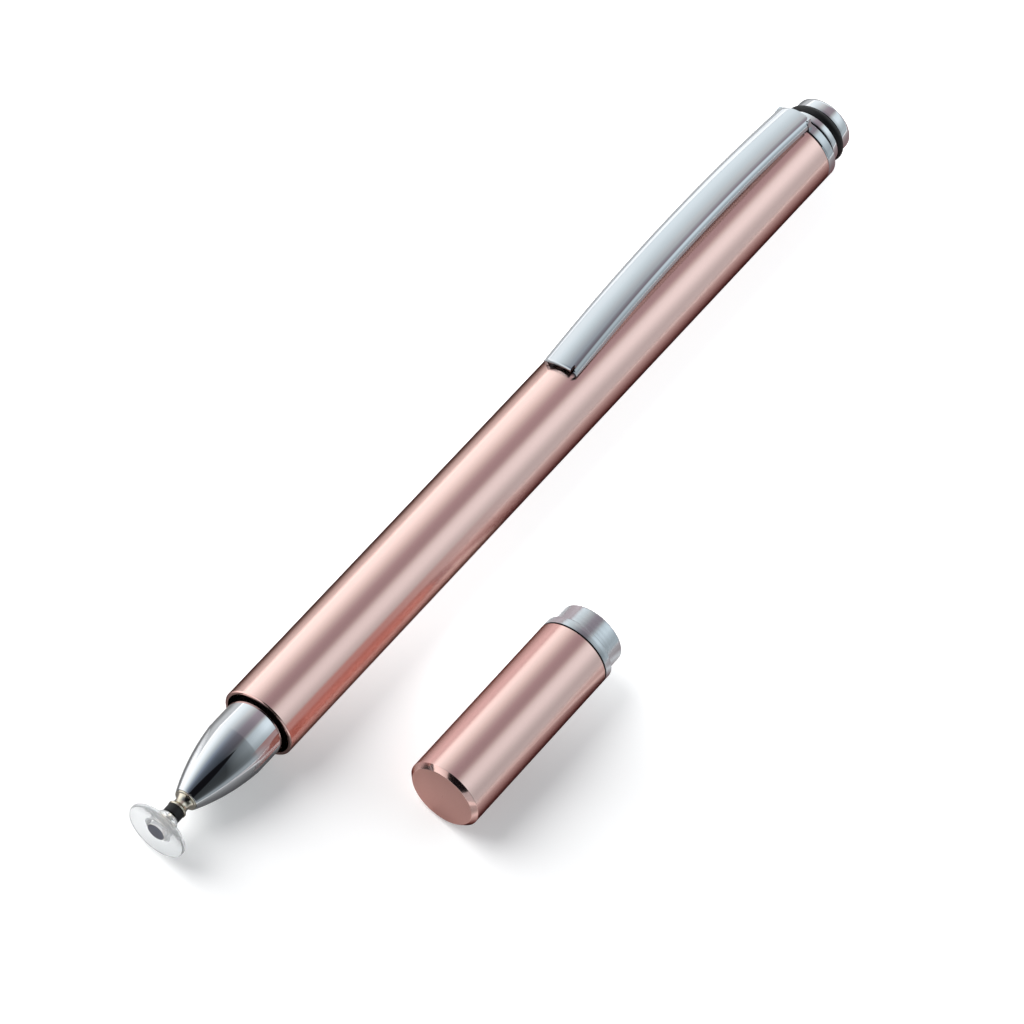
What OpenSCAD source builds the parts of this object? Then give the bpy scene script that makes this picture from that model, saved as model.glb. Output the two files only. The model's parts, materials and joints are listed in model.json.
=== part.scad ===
// Disc-tipped stylus pen, lying on a surface beside its cap.
// The pen's axis runs along +X from the tip to the rear end.
// The surface is Z = 0, and the origin is the bottom centre of the whole set.
// Lengths are millimetres and angles are degrees.
// Stations along the pen are counted from the barrel's mouth, towards the rear.

/* [Barrel] */
// Outer diameter of the barrel and of the cap
barrel_d = 9; // [8.8:0.1:11]
// Wall of the barrel tube
barrel_wall = 0.4; // [0.3:0.05:0.45]
// Length of the barrel tube
barrel_len = 100.4; // [90:0.1:120]
// Chamfer on the ends of the barrel, the clip ring and the cap's mouth
edge_chamfer = 0.12; // [0.06:0.02:0.16]

/* [Nose] */
// Length of the nose that stands out of the barrel
nose_len = 12.4; // [11:0.1:14]
// Straight length of the nose in front of the mouth
nose_straight = 4.1; // [2:0.1:5]
// Angle of the crease where the straight part turns into the ogive
nose_crease = 5.5; // [2:0.5:8]
// Diameter of the nose at its tip
nose_tip_d = 2.88; // [2.8:0.02:3.2]
// Diameter of the screwed stud behind the nose
nose_stud_d = 5; // [4:0.1:5.4]
// Length of the screwed stud behind the nose
nose_stud_len = 8; // [6:0.1:11]
// Length of the bushing that carries the nose
front_bushing_len = 12; // [11.5:0.1:16]

/* [Swivel tip] */
// Length of the waisted ferrule in front of the nose
ferrule_len = 1.7; // [1.5:0.05:2.2]
// Diameter of the ferrule's rim against the nose
ferrule_rim_d = 2.7; // [2.4:0.02:2.8]
// Diameter of the ferrule at its waist
ferrule_waist_d = 1.7; // [1.5:0.02:1.9]
// Diameter of the ferrule's front ring
ferrule_front_d = 2.24; // [2.1:0.02:2.4]
// Width of the ferrule's rim and of its front ring
ferrule_band = 0.2; // [0.1:0.02:0.3]
// Diameter of the ferrule's shank in the nose
ferrule_shank_d = 1.76; // [1.6:0.02:2]
// Length of the ferrule's shank in the nose
ferrule_shank_len = 2.5; // [2:0.1:3.5]
// Diameter of the ball pin
pin_d = 0.7; // [0.6:0.02:0.76]
// Diameter of the pin's head behind the ferrule
pin_head_d = 1.3; // [1.1:0.02:1.4]
// Length of the pin's head
pin_head_len = 0.4; // [0.3:0.05:0.6]
// Diameter of the ball
ball_d = 1.6; // [1.5:0.02:1.68]
// Distance from the ferrule's front to the ball's centre
ball_ahead = 2.25; // [2.1:0.05:2.6]
// Outer diameter of the rubber sleeve on the pin
sleeve_d = 2.1; // [1.9:0.02:2.3]

/* [Disc] */
// Diameter of the clear disc
disc_d = 7.3; // [6:0.1:7.3]
// Thickness of the disc at its rim
disc_rim = 0.5; // [0.4:0.05:0.6]
// Radius that rounds the disc's rim
disc_rim_round = 0.16; // [0.06:0.02:0.18]
// Distance from the ball's centre to the disc's front face
disc_front = 1.27; // [1.2:0.02:1.5]
// Diameter of the hub behind the disc
hub_d = 2.8; // [2.7:0.02:2.9]
// Diameter of the ball-shaped back of the hub
hub_ball_d = 3; // [2.96:0.02:3.1]
// Distance from the ball's centre back to the hub's end
hub_back = 1; // [0.9:0.02:1.04]
// Diameter of the opening in the hub's back
hub_mouth_d = 2; // [1.9:0.02:2.06]
// Radius of the flare between hub and disc
hub_flare = 0.42; // [0.3:0.02:0.46]
// Diameter of the metal socket in the hub
socket_d = 2.28; // [2.2:0.02:2.34]
// Width of each groove round the socket
rib_w = 0.14; // [0.1:0.01:0.16]
// Depth of each groove round the socket
rib_depth = 0.08; // [0.04:0.01:0.12]
// Length of the black ring that keeps the ball in
seat_len = 0.4; // [0.3:0.02:0.5]
// Distance from the ball's centre forward to the black ring
seat_front = 0.1; // [0.04:0.02:0.16]

/* [Rear end] */
// Length of the bushing in the barrel's rear
rear_bushing_len = 10; // [8:0.1:14]
// Diameter of the plug's screwed stud
plug_stud_d = 4.4; // [4:0.1:5]
// Length of the plug's stud inside the bushing
plug_stud_len = 8; // [5:0.1:10]
// Diameter of the neck behind the clip ring
plug_neck_d = 6.9; // [6.4:0.1:7.2]
// Length of the neck behind the clip ring
plug_neck_len = 0.7; // [0.4:0.05:1]
// Diameter of the collar in front of the seal ring
plug_collar_d = 7.44; // [7.2:0.02:7.48]
// Length of the collar in front of the seal ring
plug_collar_len = 0.8; // [0.5:0.05:1.2]
// Diameter of the button at the very end
button_d = 7.2; // [6.6:0.1:7.4]
// Length of the button at the very end
button_len = 1.7; // [1.3:0.05:2.4]
// Radius that rounds the button's edge
button_round = 0.6; // [0.3:0.05:0.9]

/* [Seal rings] */
// Thickness of the two rubber rings that grip the cap
o_ring_t = 1.1; // [0.9:0.02:1.2]
// How far a ring stands out past the cap's bore before it is squeezed
o_ring_squeeze = 0.19; // [0.06:0.01:0.22]
// Width of a ring's groove beyond the ring itself
o_ring_play = 0.1; // [0.04:0.02:0.16]
// Distance from the barrel's mouth back to the front ring's middle
o_ring_inset = 1.5; // [1.2:0.05:1.7]

/* [Clip] */
// Length of the clip's ring along the pen
clip_ring_len = 1.25; // [1:0.05:1.8]
// Width of the clip arm
clip_w = 4.5; // [4:0.1:5]
// Distance from the barrel's rear end forward to the clip's foot
clip_reach = 44.8; // [36:0.1:46]
// Distance from the barrel's rear end forward to the top of the bow
clip_bow_reach = 19.9; // [16:0.1:24]
// Height of the bow's top edge above the barrel's surface
clip_bow_h = 2.3; // [2.2:0.05:3]
// Radius of the arm's bow
clip_bow_r = 196; // [190:1:260]
// Radius of the crown across the arm
clip_crown_r = 6; // [4:0.1:10]
// Bevel along the arm's long edges
clip_bevel = 0.3; // [0.2:0.02:0.4]
// Depth of the arm's side flanges
clip_flange = 1.2; // [0.9:0.02:1.6]
// Thickness of the flanges
clip_flange_t = 0.55; // [0.4:0.05:0.7]
// Thickness of the arm's top plate at its edge
clip_plate = 0.35; // [0.3:0.05:0.45]
// Radius of the arm's four corners, seen from above
clip_corner = 0.55; // [0.3:0.05:0.8]
// Turn of the clip about the pen's axis, away from straight up
clip_turn = 33; // [0:1:60]

/* [Cap] */
// Length of the cap's coloured shell
cap_shell_len = 23.7; // [22:0.1:30]
// Thickness of the cap's closed end
cap_end = 0.9; // [0.8:0.05:1.5]
// Length of the chamfer round the closed end
cap_chamfer = 0.52; // [0.3:0.02:0.6]
// Diameter of the turning mark in the middle of the closed end
cap_centre_d = 0.3; // [0.2:0.02:0.5]
// Depth of the turning mark
cap_centre_depth = 0.06; // [0.03:0.01:0.1]
// Length of the silver band
cap_band_len = 1.15; // [0.8:0.05:2]
// Width of the dark line between shell and band
cap_seam = 0.1; // [0.06:0.02:0.16]
// Depth of the dark line between shell and band
cap_seam_depth = 0.25; // [0.1:0.01:0.28]
// Length of the neck that plugs into the barrel
neck_len = 2.55; // [2.2:0.05:3]
// Chamfer on the neck's end
neck_chamfer = 0.14; // [0.06:0.02:0.18]
// Wall of the neck
neck_wall = 0.25; // [0.22:0.01:0.3]
// Length of the neck's sleeve inside the shell
sleeve_in_len = 6; // [4:0.1:9]

/* [Layout] */
// Distance between the axes of the pen and the cap
cap_aside = 19.8; // [16:0.1:40]
// Distance from the barrel's mouth back to the cap's closed end
cap_along = 8.3; // [0:0.1:40]

/* [Fits] */
// Radial gap of a pressed or screwed joint
press_gap = 0.01; // [0.005:0.005:0.02]
// Radial gap of a turning joint
run_gap = 0.05; // [0.03:0.01:0.08]
// Radial gap between the ball and its seat
ball_gap = 0.03; // [0.02:0.005:0.05]
// Radial gap between the cap's neck and the barrel
neck_gap = 0.1; // [0.06:0.01:0.12]
// Radial gap between the nose and the cap's neck
nose_gap = 0.15; // [0.1:0.01:0.2]
// Gap between the hub's ball-shaped back and the rubber sleeve
hub_gap = 0.1; // [0.08:0.01:0.14]
// Gap between the clip arm and what it flexes over
clip_gap = 0.06; // [0.05:0.01:0.08]

/* [Hidden] */
$fn = 96;
// Sides of the wide arcs of the nose and the clip
arc_fn = 720;
// Overrun of every cut
over = 0.5;

// Radii shared by the barrel, the cap and the nose
barrel_r = barrel_d / 2;
barrel_bore_r = barrel_r - barrel_wall;
neck_r = barrel_bore_r - neck_gap;
neck_bore_r = neck_r - neck_wall;
nose_r = neck_bore_r - nose_gap;
// Stations of the nose and the front bushing
nose_seat = neck_len + nose_gap;
front_bushing_end = nose_seat + front_bushing_len;
nose_stud_end = nose_seat + nose_stud_len;
// Seal rings, with the gap of a pressed joint under each
o_ring_r = neck_bore_r + o_ring_squeeze;
o_ring_mid_r = o_ring_r - o_ring_t / 2;
groove_r = o_ring_r - o_ring_t - press_gap;
groove_w = o_ring_t + o_ring_play;
// Arc of the nose: it starts at the crease and ends at the tip
nose_arc_len = nose_len - nose_straight;
nose_drop = nose_r - nose_tip_d / 2;
nose_chord = norm([nose_arc_len, nose_drop]);
nose_chord_angle = atan2(nose_drop, nose_arc_len);
nose_arc_r = nose_chord / (2 * sin(nose_chord_angle - nose_crease));
nose_arc_mid = [
    nose_r - nose_arc_r * cos(nose_crease),
    nose_arc_r * sin(nose_crease) - nose_straight
];
// Stations of the swivel tip, in front of the mouth
ferrule_front = -nose_len - ferrule_len;
ferrule_back = ferrule_shank_len - nose_len;
tip_bore_r = ferrule_shank_d / 2 + press_gap;
tip_bore_end = ferrule_back + 2 * pin_head_len;
ball_z = ferrule_front - ball_ahead;
ball_seat_r = ball_d / 2 + ball_gap;
pin_bore_r = pin_d / 2 + run_gap;
// Stations of the disc
disc_z = ball_z - disc_front;
seat_z = ball_z - seat_front;
seat_end = seat_z + seat_len;
socket_len = seat_z - disc_z;
// Stations of the rear end
clip_ring_end = barrel_len + press_gap + clip_ring_len;
plug_neck_end = clip_ring_end + plug_neck_len;
plug_collar_end = plug_neck_end + plug_collar_len;
plug_groove_end = plug_collar_end + groove_w;
plug_end = plug_groove_end + button_len;
// Clip arm, as stations and heights over the pen's axis
clip_foot = barrel_len - clip_reach;
clip_bow_x = barrel_len - clip_bow_reach;
clip_bow_top = barrel_r + clip_bow_h;
clip_bow_z = clip_bow_top - clip_bow_r;
clip_inner_w = clip_w - 2 * clip_flange_t;
clip_face_w = clip_w - 2 * clip_bevel;
clip_crown_in = sqrt(pow(clip_crown_r, 2) - pow(clip_face_w / 2, 2));
clip_start = 90 - asin((clip_ring_end + over - clip_bow_x) / clip_bow_r);
clip_stop = 90 + asin((clip_bow_x - clip_foot + over) / clip_bow_r);
// Hinge line of the clip arm, under its top plate
clip_hinge_x = clip_ring_end - clip_ring_len / 2;
clip_hinge_h = clip_bow_z - clip_gap / 2
    + sqrt(pow(clip_bow_r - clip_plate, 2) - pow(clip_hinge_x - clip_bow_x, 2));
// Outline corners of the clip at its bow, as height and half width
clip_corners = [
    [clip_bow_top, clip_face_w / 2],
    [clip_bow_top - clip_bevel, clip_w / 2]
];
// Stations of the cap, counted from its closed end
cap_band_start = cap_shell_len + cap_seam;
cap_band_end = cap_band_start + cap_band_len;
cap_len = cap_band_end + neck_len;
cap_chamfer_r = barrel_r - cap_chamfer;
// Box of the whole set, and the shift that centres it
set_y_low = -cap_aside - barrel_r;
set_y_high = max([for (c = clip_corners) c[0] * sin(clip_turn) + c[1] * cos(clip_turn)]);
set_x = (min(disc_z, cap_along) + max(plug_end, cap_along + cap_len)) / 2;
set_y = (set_y_low + max(set_y_high, barrel_r)) / 2;

// Lays what is drawn along +Z from the barrel's mouth down beside the cap
module lay_pen() {
    translate([-set_x, -set_y, barrel_r]) rotate([0, 90, 0]) children();
}

// Lays what is drawn along +Z from the cap's closed end down beside the pen
module lay_cap() {
    translate([cap_along - set_x, -cap_aside - set_y, barrel_r])
        rotate([0, 90, 0]) children();
}

// Turns what is drawn over +X, with +Z outwards, to the clip's side of the pen
module lay_clip() {
    translate([-set_x, -set_y, barrel_r]) rotate([-clip_turn, 0, 0]) children();
}

// Tube along +Z with its outer edges chamfered
module chamfered_tube(z0, z1, outer, inner, edge) {
    rotate_extrude() polygon([
        [inner, z0], [outer - edge, z0], [outer, z0 + edge],
        [outer, z1 - edge], [outer - edge, z1], [inner, z1]
    ]);
}

// Solid rod along +Z between two stations
module rod(z0, z1, r) {
    translate([0, 0, z0]) cylinder(h = z1 - z0, r = r);
}

// Rectangle of a profile between two radii and two stations
module band(r0, r1, z0, z1) {
    translate([r0, z0]) square([r1 - r0, z1 - z0]);
}

// Rectangle with round corners and its lower left corner at the origin
module rounded_rect(size, r) {
    translate([r, 0]) square([size.x - 2 * r, size.y]);
    translate([0, r]) square([size.x, size.y - 2 * r]);
    for (x = [r, size.x - r], y = [r, size.y - r]) translate([x, y]) circle(r = r);
}

// Rubber ring round the pen's axis, with its middle at a station
module o_ring(z) {
    rotate_extrude() translate([o_ring_mid_r, z]) circle(d = o_ring_t);
}

module barrel() {
    color("#c98f88") lay_pen()
        chamfered_tube(0, barrel_len, barrel_r, barrel_bore_r, edge_chamfer);
}

module front_bushing() {
    color("#b9a56a") lay_pen() chamfered_tube(nose_seat, front_bushing_end,
        barrel_bore_r - press_gap, nose_stud_d / 2 + press_gap, edge_chamfer);
}

// Half outline of the nose in front of its seat
module nose_outline() {
    band(0, nose_r, -nose_straight, nose_seat - press_gap);
    intersection() {
        band(0, nose_r, -nose_len, -nose_straight);
        translate(nose_arc_mid) circle(r = nose_arc_r, $fn = arc_fn);
    }
}

module nose_cone() {
    color("#c8ccd2") lay_pen() difference() {
        union() {
            rotate_extrude() difference() {
                nose_outline();
                band(groove_r, nose_r + over,
                    o_ring_inset - groove_w / 2, o_ring_inset + groove_w / 2);
            }
            rod(nose_seat - press_gap, nose_stud_end, nose_stud_d / 2);
        }
        rod(-nose_len - over, tip_bore_end, tip_bore_r);
    }
}

module front_o_ring() {
    color("#1b1b1d") lay_pen() o_ring(o_ring_inset);
}

// Half outline of the ferrule's waist, hollowed between its two rings
module ferrule_outline() {
    waist_start = ferrule_front + ferrule_band;
    waist_end = -nose_len - ferrule_band;
    waist_z = (waist_start + waist_end) / 2;
    half = (waist_end - waist_start) / 2;
    cut = (ferrule_front_d - ferrule_waist_d) / 2;
    hollow_r = (pow(half, 2) + pow(cut, 2)) / (2 * cut);
    difference() {
        polygon([
            [0, ferrule_front], [ferrule_front_d / 2, ferrule_front],
            [ferrule_front_d / 2, waist_start], [ferrule_rim_d / 2, waist_end],
            [ferrule_rim_d / 2, -nose_len], [0, -nose_len]
        ]);
        translate([ferrule_waist_d / 2 + hollow_r, waist_z]) circle(r = hollow_r);
    }
}

module tip_ferrule() {
    color("#cfc6b2") lay_pen() difference() {
        union() {
            rotate_extrude() ferrule_outline();
            rod(-nose_len, ferrule_back, ferrule_shank_d / 2);
        }
        rod(ferrule_front - over, ferrule_back + over, pin_bore_r);
    }
}

module ball_pin() {
    color("#b7b9bd") lay_pen() union() {
        translate([0, 0, ball_z]) sphere(d = ball_d);
        rod(ball_z, ferrule_back + run_gap + pin_head_len, pin_d / 2);
        rod(ferrule_back + run_gap, ferrule_back + run_gap + pin_head_len, pin_head_d / 2);
    }
}

module rubber_sleeve() {
    color("#161618") lay_pen() difference() {
        rod(ball_z, ferrule_front - run_gap, sleeve_d / 2);
        translate([0, 0, ball_z]) sphere(r = hub_ball_d / 2 + hub_gap);
        rod(ball_z - over, ferrule_front + over, pin_d / 2);
    }
}

// Half outline of the disc and of its hub up to the hub's back
module disc_outline() {
    disc_r = disc_d / 2;
    hub_r = hub_d / 2;
    back = disc_z + disc_rim;
    flare_z = back + hub_flare;
    translate([0, disc_z]) rounded_rect([disc_r, disc_rim], disc_rim_round);
    band(0, hub_r, disc_z, back);
    difference() {
        band(0, hub_r + hub_flare, back, flare_z);
        translate([hub_r + hub_flare, flare_z]) circle(r = hub_flare);
    }
    intersection() {
        band(0, hub_r, back, ball_z + hub_back);
        translate([0, ball_z]) circle(d = hub_ball_d);
    }
    band(0, hub_r, back, ball_z);
}

module contact_disc() {
    color("#e6ebee", 0.5) lay_pen() difference() {
        rotate_extrude() intersection() {
            disc_outline();
            band(0, disc_d, disc_z - over, ball_z + hub_back);
        }
        rod(disc_z - over, seat_end, socket_d / 2);
        rod(disc_z, ball_z + hub_back + over, hub_mouth_d / 2);
    }
}

module disc_socket() {
    socket_r = socket_d / 2 - press_gap;
    color("#8b8f96") lay_pen() difference() {
        rod(disc_z, seat_z, socket_r);
        translate([0, 0, ball_z]) sphere(r = ball_seat_r);
        for (z = [disc_z + 3 * rib_w : 2 * rib_w : seat_z - rib_w])
            rotate_extrude() band(socket_r - rib_depth, socket_r + over, z, z + rib_w);
    }
}

module ball_seat() {
    color("#232326") lay_pen() difference() {
        rod(seat_z, seat_end - press_gap, socket_d / 2 - press_gap);
        translate([0, 0, ball_z]) sphere(r = ball_seat_r);
    }
}

module rear_bushing() {
    color("#b9a56a") lay_pen() chamfered_tube(barrel_len - rear_bushing_len, barrel_len,
        barrel_bore_r - press_gap, plug_stud_d / 2 + press_gap, edge_chamfer);
}

// Half outline of the button, with its outer edge rounded
module button_outline() {
    round_r = button_d / 2 - button_round;
    band(0, button_d / 2, plug_groove_end, plug_end - button_round);
    band(0, round_r, plug_groove_end, plug_end);
    translate([round_r, plug_end - button_round]) circle(r = button_round);
}

module rear_plug() {
    color("#c8ccd2") lay_pen() union() {
        rod(barrel_len - plug_stud_len, clip_ring_end + over, plug_stud_d / 2);
        rod(clip_ring_end, plug_neck_end, plug_neck_d / 2);
        rod(plug_neck_end, plug_collar_end, plug_collar_d / 2);
        rod(plug_collar_end, plug_groove_end, groove_r);
        rotate_extrude() button_outline();
    }
}

module rear_o_ring() {
    color("#1b1b1d") lay_pen() o_ring(plug_collar_end + groove_w / 2);
}

// Cylinder across the clip, concentric with its bow
module bow_cylinder(r) {
    translate([clip_bow_x, 0, clip_bow_z]) rotate([90, 0, 0])
        cylinder(h = clip_w + 2 * over, r = r, center = true, $fn = arc_fn);
}

module clip_ring() {
    riser_foot = barrel_bore_r * cos(asin(clip_w / barrel_d));
    color("#c8ccd2") union() {
        lay_pen() chamfered_tube(barrel_len + press_gap, clip_ring_end,
            barrel_r, plug_stud_d / 2 + press_gap, edge_chamfer);
        lay_clip() intersection() {
            translate([barrel_len + press_gap + edge_chamfer, -clip_w / 2, riser_foot])
                cube([clip_ring_len - 2 * edge_chamfer, clip_w, clip_bow_top]);
            bow_cylinder(clip_bow_r - clip_plate - clip_gap);
        }
    }
}

// Cross-section of the clip arm, with its top edge at x = 0 before the crown
module clip_section() {
    difference() {
        union() {
            polygon([
                [-clip_flange, -clip_w / 2], [-clip_bevel, -clip_w / 2],
                [0, -clip_face_w / 2], [0, clip_face_w / 2],
                [-clip_bevel, clip_w / 2], [-clip_flange, clip_w / 2]
            ]);
            intersection() {
                translate([-clip_crown_in, 0]) circle(r = clip_crown_r);
                translate([-clip_bevel, -clip_face_w / 2])
                    square([clip_crown_r, clip_face_w]);
            }
        }
        translate([-clip_flange - over, -clip_inner_w / 2])
            square([clip_flange + over - clip_plate, clip_inner_w]);
    }
}

// What is cut off a sharp corner at the origin to round it
module corner_waste() {
    difference() {
        translate([-over, -over]) square(clip_corner + over);
        translate([clip_corner, clip_corner]) circle(r = clip_corner);
    }
}

// What is cut off the arm, seen from above, to round its four corners
module clip_waste() {
    middle = (clip_foot + clip_ring_end) / 2;
    for (x = [0, 1], y = [0, 1]) translate([middle, 0]) mirror([x, 0]) mirror([0, y])
        translate([clip_foot - middle, -clip_w / 2]) corner_waste();
}

module clip_arm() {
    color("#c8ccd2") lay_clip() difference() {
        intersection() {
            translate([clip_bow_x, 0, clip_bow_z]) rotate([90, 0, 0])
                rotate([0, 0, clip_start])
                rotate_extrude(angle = clip_stop - clip_start, $fn = arc_fn)
                translate([clip_bow_r, 0]) clip_section();
            translate([clip_foot, -clip_w, 0])
                cube([clip_ring_end - clip_foot, 2 * clip_w, 2 * clip_bow_top]);
        }
        linear_extrude(height = 2 * clip_bow_top) clip_waste();
        rotate([0, 90, 0]) rod(clip_foot - over, clip_ring_end + over, barrel_r + clip_gap);
        intersection() {
            translate([barrel_len - clip_gap, -clip_w, 0])
                cube([clip_ring_len + over, 2 * clip_w, 2 * clip_bow_top]);
            bow_cylinder(clip_bow_r - clip_plate);
        }
    }
}

module cap_shell() {
    color("#c98f88") lay_cap() difference() {
        rotate_extrude() polygon([
            [0, 0], [cap_chamfer_r, 0], [barrel_r, cap_chamfer],
            [barrel_r, cap_shell_len], [barrel_bore_r, cap_shell_len],
            [barrel_bore_r, cap_end], [0, cap_end]
        ]);
        rod(-cap_centre_depth, cap_centre_depth, cap_centre_d / 2);
    }
}

module cap_insert() {
    sleeve_start = cap_shell_len - sleeve_in_len;
    sleeve_r = barrel_bore_r - press_gap;
    seam_r = barrel_r - cap_seam_depth;
    color("#b4b8bc") lay_cap() rotate_extrude() polygon([
        [neck_bore_r, sleeve_start], [sleeve_r, sleeve_start],
        [sleeve_r, cap_shell_len], [seam_r, cap_shell_len],
        [seam_r, cap_band_start], [barrel_r, cap_band_start],
        [barrel_r, cap_band_end - edge_chamfer], [barrel_r - edge_chamfer, cap_band_end],
        [neck_r, cap_band_end], [neck_r, cap_len - neck_chamfer],
        [neck_r - neck_chamfer, cap_len], [neck_bore_r, cap_len]
    ]);
}

barrel();
front_bushing();
nose_cone();
front_o_ring();
tip_ferrule();
ball_pin();
rubber_sleeve();
contact_disc();
disc_socket();
ball_seat();
rear_bushing();
rear_plug();
rear_o_ring();
clip_ring();
clip_arm();
cap_shell();
cap_insert();
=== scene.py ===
import json
import math
import bmesh
import bpy
from mathutils import Matrix, Vector


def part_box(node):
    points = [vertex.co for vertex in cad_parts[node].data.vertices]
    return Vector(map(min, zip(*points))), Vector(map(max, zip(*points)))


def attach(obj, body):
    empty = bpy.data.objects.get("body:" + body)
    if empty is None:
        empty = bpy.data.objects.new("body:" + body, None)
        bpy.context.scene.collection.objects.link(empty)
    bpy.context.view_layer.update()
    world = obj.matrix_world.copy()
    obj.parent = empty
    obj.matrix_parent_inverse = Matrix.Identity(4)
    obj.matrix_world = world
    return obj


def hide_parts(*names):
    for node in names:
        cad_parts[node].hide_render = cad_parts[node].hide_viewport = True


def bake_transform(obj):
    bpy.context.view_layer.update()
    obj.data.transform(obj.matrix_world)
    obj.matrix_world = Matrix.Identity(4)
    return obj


# Disc-tipped stylus pen beside its pull-off cap. Outlines are in millimetres, as stations along a
# piece's axis and radii round it. Pen stations are counted from the barrel's mouth towards the rear,
# and cap stations from the cap's closed end.

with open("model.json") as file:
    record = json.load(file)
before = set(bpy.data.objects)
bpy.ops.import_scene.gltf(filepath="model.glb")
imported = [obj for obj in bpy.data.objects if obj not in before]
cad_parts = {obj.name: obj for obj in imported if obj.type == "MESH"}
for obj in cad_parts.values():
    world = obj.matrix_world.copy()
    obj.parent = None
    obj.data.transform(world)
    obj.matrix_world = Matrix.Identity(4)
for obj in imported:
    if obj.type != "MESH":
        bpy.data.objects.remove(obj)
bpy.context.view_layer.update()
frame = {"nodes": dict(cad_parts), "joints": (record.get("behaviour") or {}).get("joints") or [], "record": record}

MM = 0.001
MICRON = 1e-6
FULL_TURN = math.tau
# Slack, in millimetres, that keeps a limit off the points that lie on it and joins points that coincide
SLACK = 0.001
# Sides of a turned piece
TURN_STEPS = 256
# Rounding of a machined edge that is only deburred
DEBURR = 0.03
# Edges that bend by more than this stay sharp
SHARP_ANGLE = math.radians(32)
# Segments of a rounded corner of an outline, and steps of each arc
ROUND_STEPS = 4
OGIVE_STEPS = 48
WAIST_STEPS = 16
SLEEVE_STEPS = 8
FLARE_STEPS = 8
HUB_STEPS = 10
CUP_STEPS = 12
SEAT_STEPS = 8
SEAL_STEPS = 48
CROWN_STEPS = 8
CLIP_EDGE_STEPS = 6
# How far a cutting shape reaches past what it cuts
OVERRUN = 1
# Numbers of the Mix node's sockets when it mixes colours
MIX_BY, MIX_A, MIX_B, MIX_OUT = 0, 6, 7, 2
# Values that a noise stays between almost everywhere
NOISE_LOW = 0.3
NOISE_HIGH = 0.7

# Barrel
BARREL_R = 4.5
BARREL_BORE_R = 4.1
BARREL_LEN = 100.4
EDGE_CHAMFER = 0.12

# Nose
NOSE_R = 3.6
NOSE_LEN = 12.4
NOSE_STRAIGHT = 4.1
NOSE_CREASE = math.radians(5.5)
NOSE_ARC_R = 27.15
NOSE_TIP_R = 1.44
NOSE_SEAT = 2.69
NOSE_BORE_R = 0.89
NOSE_BORE_END = -9.1
STUD_R = 2.5
STUD_END = 10.7
GROOVE_R = 2.83
GROOVE_W = 1.2
FRONT_RING_AT = 1.5

# Ferrule between nose and disc
FERRULE_FRONT = -14.1
FERRULE_BACK = -9.9
FERRULE_BAND = 0.2
FERRULE_RIM_R = 1.35
FERRULE_FRONT_R = 1.12
FERRULE_WAIST_R = 0.85
FERRULE_SHANK_R = 0.88
FERRULE_BORE_R = 0.4

# Disc and its ball joint
BALL_AT = -16.35
DISC_FRONT = -17.62
DISC_BACK = -17.12
DISC_R = 3.65
DISC_ROUND = 0.16
HUB_R = 1.4
HUB_BALL_R = 1.5
HUB_BACK = -15.35
HUB_MOUTH_R = 1.0
HUB_FLARE = 0.42
SOCKET_HOLE_R = 1.14
SOCKET_R = 1.13
SOCKET_BACK = -16.45
SEAT_BACK = -16.06
SEAT_STOP = -16.05
CUP_R = 0.83
RIBS = 3
RIB_W = 0.14
RIB_DEPTH = 0.08
# Width of the plain band in front of the first rib
RIBS_IN = 3 * RIB_W
SLEEVE_R = 1.05
SLEEVE_BORE_R = 0.35
SLEEVE_BACK = -14.15
SLEEVE_BALL_R = 1.6

# Rear end
RING_START = 100.41
RING_END = 101.66
RING_BORE_R = 2.21
NECK_R = 3.45
NECK_END = 102.36
COLLAR_R = 3.72
COLLAR_END = 103.16
BUTTON_START = 104.36
BUTTON_END = 106.06
BUTTON_R = 3.6
BUTTON_ROUND = 0.6
PLUG_STUD_R = 2.2
PLUG_STUD_START = 92.4
SEAL_R = 0.55
SEAL_MID_R = 3.39

# Cap
CAP_SHELL_LEN = 23.7
CAP_END = 0.9
CAP_CHAMFER = 0.52
CAP_MARK_R = 0.15
CAP_MARK_DEPTH = 0.06
CAP_SEAM_R = 4.25
SEAM_ROUND = 0.07
CAP_BAND_START = 23.8
CAP_BAND_END = 24.95
CAP_LEN = 27.5
CAP_NECK_R = 4.0
CAP_NECK_BORE_R = 3.75
CAP_NECK_CHAMFER = 0.14
CAP_SLEEVE_START = 17.7
CAP_SLEEVE_R = 4.09

# Clip
CLIP_W = 4.5
CLIP_FOOT = 55.6
CLIP_BOW_AT = 80.5
CLIP_BOW_R = 196
CLIP_TOP = 6.8
CLIP_CROWN_R = 6
CLIP_EDGE_R = 0.8
CLIP_FLANGE = 1.2
CLIP_FLANGE_T = 0.55
CLIP_PLATE = 0.35
CLIP_CORNER = 0.55
CLIP_LIP_R = 0.3
CLIP_TURN = math.radians(33)
CLIP_FLANGE_END = 100.34
CLIP_ROOT = 101.21
# Gap between the flanges and the barrel
CLIP_GAP = 0.06
# Stations of the sweep along the bow, each with the number of steps that lead to it. The steps are fine
# over the foot's lip, and the flanges stop within one short step.
CLIP_LIP_END = 56.5
CLIP_FLANGE_STEP = 0.02
CLIP_STOPS = [
    (CLIP_FOOT, 0), (CLIP_LIP_END, 18), (CLIP_FLANGE_END - CLIP_FLANGE_STEP, 160), (CLIP_FLANGE_END, 1),
    (CLIP_ROOT, 20),
]
# Height, under the bow's top edge, below which the lip isn't rounded
LIP_FLOOR = -0.3
NOTCH_IN = 1.58
NOTCH_OUT = 1.93
NOTCH_LEN = 0.75
# The notch lies on the side that faces the cap
NOTCH_SIDE = -1
RISER_START = 100.53
RISER_END = 101.09
RISER_W = 4.3
RISER_FOOT = 3.4
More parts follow.
